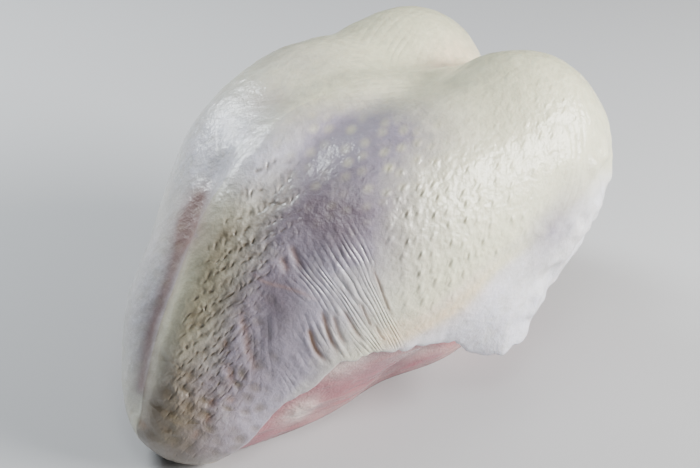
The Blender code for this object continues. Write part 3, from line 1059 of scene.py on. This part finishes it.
def with_fine_forms(skin, material, sizes):
    """The skin with its follicles and wrinkles, as a plain mesh."""
    tree, inputs = fine_form_tree(material)
    modifier = skin.modifiers.new("fine forms", "NODES")
    modifier.node_group = tree
    modifier[inputs["Bump height"]] = sizes.bump
    modifier[inputs["Pit depth"]] = sizes.pit
    modifier[inputs["Wrinkle height"]] = sizes.wrinkle
    graph = bpy.context.evaluated_depsgraph_get()
    graph.update()
    mesh = bpy.data.meshes.new_from_object(skin.evaluated_get(graph))
    skin.modifiers.clear()
    plain = skin.data
    skin.data = mesh
    bpy.data.meshes.remove(plain)
    mesh.name = skin.name
    return skin


# Materials.

def new_material(name):
    material = bpy.data.materials.new(name)
    material.use_nodes = True
    return material, Nodes(material.node_tree), material.node_tree.nodes["Principled BSDF"]


def mixed(n, factor, first, second):
    """A colour mix. The colours may be sockets or values."""
    node = n.add("ShaderNodeMix", {0: factor}, data_type="RGBA")
    for socket, value in ((node.inputs[6], first), (node.inputs[7], second)):
        n.feed(socket, value if isinstance(value, bpy.types.NodeSocket) else (*value, 1.0))
    return node.outputs[2]


def speckle(n, scale, detail=3.0, rough=0.55, stretch=None):
    """Noise in the object's own metres."""
    place = n.add("ShaderNodeTexCoord").outputs["Object"]
    if stretch:
        place = n.vector("MULTIPLY", place, stretch)
    return n.add("ShaderNodeTexNoise", {"Vector": place, "Scale": scale, "Detail": detail,
                                        "Roughness": rough}).outputs["Fac"]


def weight(n, name):
    return n.add("ShaderNodeAttribute", attribute_name=name).outputs["Fac"]


def around(n, value, spread):
    """Noise from 1 - spread to 1 + spread."""
    return n.ramp(value, 0.25, 0.75, 1 - spread, 1 + spread)


def layered(n, colour, colours, layers):
    """Lays colours over each other: the weight's name, the noise that breaks it up and by how much,
    and how strongly the colour covers."""
    for name, source, spread, cover in layers:
        broken = n.times(weight(n, name), around(n, source, spread), clamp=True)
        colour = mixed(n, n.times(broken, cover, clamp=True), colour, getattr(colours, name))
    return colour


def bumped(n, height, strength, distance, normal=None):
    """The normal of a relief, laid over another relief's normal where one is given."""
    inputs = {"Height": height, "Strength": strength, "Distance": distance}
    if normal:
        inputs["Normal"] = normal
    return n.add("ShaderNodeBump", inputs).outputs["Normal"]


def finish_shader(n, shader, colour, normal, values):
    n.feed(shader.inputs["Base Color"], colour)
    n.feed(shader.inputs["Normal"], normal)
    n.feed(shader.inputs["Coat Normal"], normal)
    for name, value in values.items():
        shader.inputs[name].default_value = value


def skin_material(colours, sizes):
    material, n, shader = new_material("turkey_skin")
    blotch = speckle(n, 45, 4)
    mottle = speckle(n, 190, 4, 0.6)
    fine = speckle(n, 900, 2)

    def read(name, size=3):
        node = n.add("ShaderNodeAttribute", attribute_name=name)
        return node.outputs["Vector" if size == 3 else "Fac"]

    height, dark, fat = fine_forms(n, read, sizes.bump, sizes.pit, sizes.wrinkle)
    colour = layered(n, colours.cream, colours, (
        ("lilac", blotch, 0.3, 1.1),
        # Deep lilac: partly painted shade.
        ("deep", blotch, 0.65, 0.95),
        ("olive", blotch, 0.5, 0.8),
        # Pale skin, partly painted light and highlight.
        ("white", mottle, 0.2, 0.85),
        ("peach", mottle, 0.4, 1.0),
        ("blush", blotch, 0.3, 1.0),
    ))
    colour = mixed(n, n.times(fat, 0.58), colour, colours.dot)
    # Painted shade in the slits, holes, row valleys and wrinkle furrows, with the tail's own mottles,
    # in the pit colour.
    colour = mixed(n, n.times(dark, 0.9, clamp=True), colour, colours.pit)
    # Brown tint and painted shade in the folds, dents and side creases.
    colour = mixed(n, weight(n, "stain"), colour, colours.furrow)
    shade = n.times(around(n, mottle, 0.10), around(n, fine, 0.05))
    forms = bumped(n, height, 1.0, BUMP_SHARE)
    pores = bumped(n, speckle(n, 700, 3, 0.6), 0.25, 0.0006, forms)
    n.feed(shader.inputs["Roughness"], n.ramp(mottle, 0.3, 0.7, 0.42, 0.58))
    finish_shader(n, shader, n.scaled(colour, shade), bumped(n, mottle, 0.5, 0.0016, pores), {
        "Subsurface Weight": 0.15,
        "Subsurface Radius": (1.0, 0.6, 0.45),
        "Subsurface Scale": 0.002,
        "Coat Weight": 0.6,
        "Coat Roughness": 0.12,
    })
    return material


def flesh_material(colours):
    material, n, shader = new_material("turkey_flesh")
    fibre = speckle(n, 160, 4, 0.6, stretch=(0.18, 1.0, 1.0))
    mottle = speckle(n, 90, 4)
    fine = speckle(n, 800, 3)
    colour = layered(n, colours.flesh, colours, (("blood", mottle, 0.4, 1.0),))
    colour = mixed(n, n.ramp(fibre, 0.54, 0.75, 0.0, 0.22), colour, colours.film)
    colour = layered(n, colour, colours, (("film", mottle, 0.35, 1.0),))
    shade = n.times(around(n, mottle, 0.14), around(n, fine, 0.06))
    grain = bumped(n, fine, 0.5, 0.0010, bumped(n, fibre, 0.7, 0.0025))
    finish_shader(n, shader, n.scaled(colour, shade), grain, {
        "Roughness": 0.45,
        "Subsurface Weight": 0.15,
        "Subsurface Radius": (1.0, 0.3, 0.2),
        "Subsurface Scale": 0.002,
        "Coat Weight": 1.0,
        "Coat Roughness": 0.06,
    })
    return material


# The flesh.
FLESH_COLUMNS = 420
FLESH_TOP_ROWS = 36
BAND_ROWS = 64
BASE_ROWS = 22
FLESH_WEIGHTS = ("blood", "film")
# Depths under the skin's outer surface, and where the band that shows begins above the skin's edge.
FLESH_TOP_DEPTH = 8.0
BAND_DEPTH = 3.4
BAND_START = 9.0
FAT_CLUMP = ((1.0, (300, 410), (20, 9), -30),)
UPPER_FILM = ((1.0, (345, 364), (30, 11), -22), (0.6, (415, 352), (40, 6), -8))
BLOOD_PATCHES = ((0.8, (458, 353), (14, 12), -35), (0.3, (345, 405), (60, 14), -22))
RIB_EDGE = ((405, 385), (432, 371), (455, 357), (470, 345))


def flesh_relief(points, px):
    """Height of the fibres and films on the flesh, and where film and blood show."""
    stretched = points * np.array((0.25, 1, 1))
    height = 0.5 * noise(stretched, 4.5, 31) + 0.25 * noise(stretched, 2.2, 32)
    height += 0.9 * noise(points, 17, 33)
    clump = patches(px, FAT_CLUMP)
    height += 1.3 * clump * (0.7 + 0.5 * noise(points, 3.2, 34))
    rib = crease(px, RIB_EDGE, 2.6)[0]
    height += 1.0 * rib
    film = 0.85 * clump + 0.75 * patches(px, UPPER_FILM) + 0.9 * rib
    film += 0.25 * np.clip(noise(stretched, 9, 35) * 2 - 0.6, 0, 1)
    blood = patches(px, BLOOD_PATCHES)
    return height, {"film": np.clip(film, 0, 1), "blood": np.clip(blood, 0, 1)}


def make_flesh_surface(form):
    """A closed block: plain under the skin, fine where it shows, with a flat base."""
    bearing = crowded_bearings(FLESH_COLUMNS)
    height, _ = edge_at(bearing)
    top_angle, band_angle = [], []
    for one, edge_height in zip(bearing, height):
        profile = form.profile(one)
        edge = angle_at_height(profile, edge_height + BAND_START)
        floor = max(angle_at_height(profile, 0.4), edge + math.radians(8))
        top_angle.append(even_angles(profile, edge, FLESH_TOP_ROWS))
        band_angle.append(np.linspace(edge, floor, BAND_ROWS + 1)[1:])
    column = np.repeat(bearing[:, None], FLESH_TOP_ROWS, axis=1)
    top = at(column, np.array(top_angle), form.at(column, np.array(top_angle), FLESH_TOP_DEPTH))
    column = np.repeat(bearing[:, None], BAND_ROWS, axis=1)
    band = at(column, np.array(band_angle), form.at(column, np.array(band_angle), BAND_DEPTH))
    crown = top[:, 0].mean(axis=0)
    normals = grid_normals(band, band[:, 0].mean(axis=0))
    far = band[..., 1] > 0
    relief, tint = flesh_relief(band, photo_px(np.where(far[..., None], mirrored(band), band)))
    down = np.linspace(0, 1, BAND_ROWS)[None, :]
    relief = relief * smooth(1.0, 0.85, down) - 1.2 * smooth(0.2, 0, down)
    band = band + normals * relief[..., None]
    band[..., 2] = np.maximum(band[..., 2], 0.0)
    band[:, -1, 2] = 0.0

    flesh = Surface(FLESH_WEIGHTS)
    rings = [flesh.ring(top[::4, j]) for j in range(FLESH_TOP_ROWS)]
    flesh.cap(flesh.ring(crown[None] + (0, 0, 1))[0], rings[0])
    rings.append(flesh.ring(band[::2, 0]))
    for j in range(1, BAND_ROWS):
        rings.append(flesh.ring(band[:, j], {name: tint[name][:, j] for name in tint}))
    middle = band[:, -1].mean(axis=0)
    for j in range(1, BASE_ROWS):
        rings.append(flesh.ring(middle + (band[:, -1] - middle) * (1 - j / BASE_ROWS)))
    for upper, lower in zip(rings, rings[1:]):
        flesh.join(upper, lower)
    first = len(flesh.faces)
    flesh.cap(flesh.ring(middle[None])[0], rings[-1])
    flesh.flip_from(first)
    return flesh


def form_shift(form):
    """From the form's millimetres to the frame's: the frame's box is centred on the origin."""
    low, high = (np.array(corner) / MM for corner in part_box("skin"))
    grid = np.meshgrid(form.bearings, SEARCH_ANGLES, indexing="ij")
    points = at(*grid, form.reach)
    return np.array((low[0] - points[..., 0].min(), low[1] - points[..., 1].min(), 0.0))


FORM = {}


def shared_form():
    """The body's form and its place in the frame, worked out once."""
    if not FORM:
        FORM["form"] = Form()
        FORM["shift"] = form_shift(FORM["form"])
    return FORM["form"], FORM["shift"]


def finish_piece(obj, slot, *nodes):
    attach(obj, "root")
    if nodes:
        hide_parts(*nodes)


class BREAST_OT_skin(bpy.types.Operator):
    """Make the skin with its follicles, wrinkles and folds"""

    bl_idname = "breast.skin"
    bl_label = "Skin"

    def execute(self, context):
        sizes = context.scene.breast_sizes
        form, shift = shared_form()
        millimetres = {name: getattr(sizes, name) / MM for name in ("rim", "fold")}
        skin = make_skin_surface(form, millimetres).to_object("turkey_skin", shift)
        material = skin_material(context.scene.breast_colours, sizes)
        skin.data.materials.append(material)
        skin = with_fine_forms(skin, material, sizes)
        finish_piece(skin, "skin", "skin")
        return {"FINISHED"}


class BREAST_OT_flesh(bpy.types.Operator):
    """Make the flesh that shows below the skin's edge"""

    bl_idname = "breast.flesh"
    bl_label = "Flesh"

    def execute(self, context):
        form, shift = shared_form()
        flesh = make_flesh_surface(form).to_object("turkey_flesh", shift)
        flesh.data.materials.append(flesh_material(context.scene.breast_colours))
        finish_piece(flesh, "flesh", "flesh")
        return {"FINISHED"}


class BREAST_OT_stage(bpy.types.Operator):
    """Make the floor, the lights and the camera"""

    bl_idname = "breast.stage"
    bl_label = "Stage"

    def execute(self, context):
        settings = context.scene.breast_stage
        make_floor(settings)
        make_lights(settings)
        make_camera(shared_form()[1])
        return {"FINISHED"}


FLOOR_HALF = 3.0
FLOOR_ROUGHNESS = 0.7
# Soft boxes: name, place, width and height, and colour.
LIGHTS = (
    ("side", (0.58, -0.92, 0.52), (0.7, 0.45), (1.0, 0.99, 0.97)),
    ("top", (-0.07, 0.78, 0.70), (0.24, 0.5), (0.92, 0.97, 1.0)),
    ("fill", (-0.30, -0.42, 0.97), (0.3, 0.3), (0.95, 0.97, 1.0)),
)
LIGHTS_AIM = (0, 0, 0.06)
ROOM_COLOUR = (0.93, 0.96, 1.0, 1.0)
ROOM_STRENGTH = 0.10
SENSOR_WIDTH = 36


def make_floor(settings):
    mesh = bpy.data.meshes.new("floor")
    corners = ((-1, -1), (1, -1), (1, 1), (-1, 1))
    mesh.from_pydata([(x * FLOOR_HALF, y * FLOOR_HALF, 0) for x, y in corners], [], [(0, 1, 2, 3)])
    floor = bpy.data.objects.new("floor", mesh)
    bpy.context.scene.collection.objects.link(floor)
    material, _, shader = new_material("floor")
    shader.inputs["Base Color"].default_value = (*settings.floor, 1.0)
    shader.inputs["Roughness"].default_value = FLOOR_ROUGHNESS
    mesh.materials.append(material)


def make_lights(settings):
    for name, place, size, colour in LIGHTS:
        data = bpy.data.lights.new(name, "AREA")
        data.shape = "RECTANGLE"
        data.size, data.size_y = size
        data.energy = getattr(settings, name)
        data.color = colour
        light = bpy.data.objects.new(name, data)
        light.location = place
        light.rotation_euler = (Vector(LIGHTS_AIM) - Vector(place)).to_track_quat("-Z", "Y").to_euler()
        bpy.context.scene.collection.objects.link(light)
    world = bpy.data.worlds.new("studio")
    world.use_nodes = True
    background = world.node_tree.nodes["Background"]
    background.inputs["Color"].default_value = ROOM_COLOUR
    background.inputs["Strength"].default_value = ROOM_STRENGTH
    bpy.context.scene.world = world


def make_camera(shift):
    data = bpy.data.cameras.new("camera")
    data.sensor_width = SENSOR_WIDTH
    data.lens = FOCAL_PX / PHOTO_SIZE[0] * data.sensor_width
    camera = bpy.data.objects.new("camera", data)
    camera.location = (CAMERA_AT + shift) * MM
    forward = Vector(photo_axes()[2])
    camera.rotation_euler = forward.to_track_quat("-Z", "Y").to_euler()
    bpy.context.scene.collection.objects.link(camera)
    bpy.context.scene.camera = camera


class BREAST_PT_panel(bpy.types.Panel):
    """Sizes, colours and buttons"""

    bl_label = "Turkey breast"
    bl_space_type = "VIEW_3D"
    bl_region_type = "UI"
    bl_category = "Turkey breast"

    def draw(self, context):
        scene = context.scene
        for group in (scene.breast_sizes, scene.breast_colours, scene.breast_stage):
            box = self.layout.box()
            for name in group.__annotations__:
                box.prop(group, name)
        for operator in OPERATORS:
            self.layout.operator(operator.bl_idname)


OPERATORS = (BREAST_OT_skin, BREAST_OT_flesh, BREAST_OT_stage)
GROUPS = (
    ("breast_sizes", BreastSizes),
    ("breast_colours", BreastColours),
    ("breast_stage", StageSettings),
)


def register():
    for name, group in GROUPS:
        bpy.utils.register_class(group)
        setattr(bpy.types.Scene, name, bpy.props.PointerProperty(type=group))
    for cls in (*OPERATORS, BREAST_PT_panel):
        bpy.utils.register_class(cls)


def unregister():
    for cls in (BREAST_PT_panel, *reversed(OPERATORS)):
        bpy.utils.unregister_class(cls)
    for name, group in reversed(GROUPS):
        delattr(bpy.types.Scene, name)
        bpy.utils.unregister_class(group)


def main():
    register()
    bpy.ops.breast.skin()
    bpy.ops.breast.flesh()
    bpy.ops.breast.stage()


if __name__ == "__main__":
    main()
